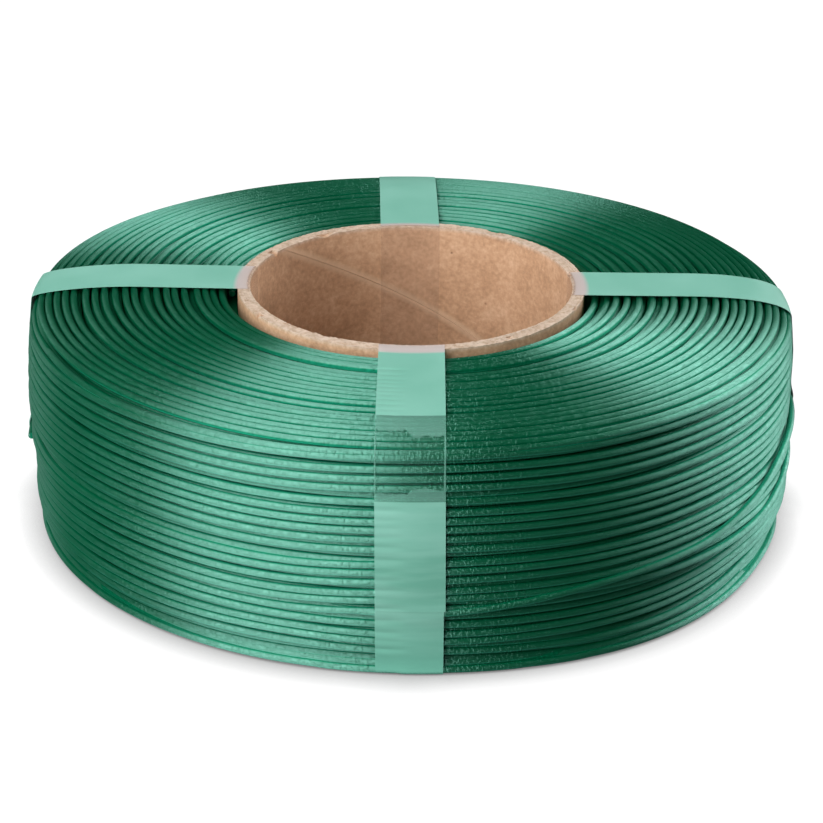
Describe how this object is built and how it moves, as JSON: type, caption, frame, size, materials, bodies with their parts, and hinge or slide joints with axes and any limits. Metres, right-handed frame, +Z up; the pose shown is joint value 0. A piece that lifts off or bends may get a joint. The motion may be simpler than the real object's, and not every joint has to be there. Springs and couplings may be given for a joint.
{
  "type": "filament refill coil",
  "caption": "Flat-lying refill coil of green 3D-printing filament wound on a bare paper core and bound by film tape straps.",
  "frame": {"origin": "centre of the coil's footprint, on the surface that it rests on", "axes": "+Z up along the coil's axis, -Y towards the front strap, +X towards the right strap"},
  "size_m": [0.193, 0.193, 0.059],
  "materials": {
    "paper_board": "matte",
    "filament": "satin",
    "film_tape": "frosted, translucent"
  },
  "bodies": {
    "root": {"core_ply_1": "paper_board", "core_ply_2": "paper_board", "core_ply_3": "paper_board", "core_ply_4": "paper_board", "core_ply_5": "paper_board", "filament_pack": "filament", "filament_outer_layer": "filament", "strap_front": "film_tape", "strap_right": "film_tape", "strap_back": "film_tape", "strap_left": "film_tape"}
  },
  "joints": []
}
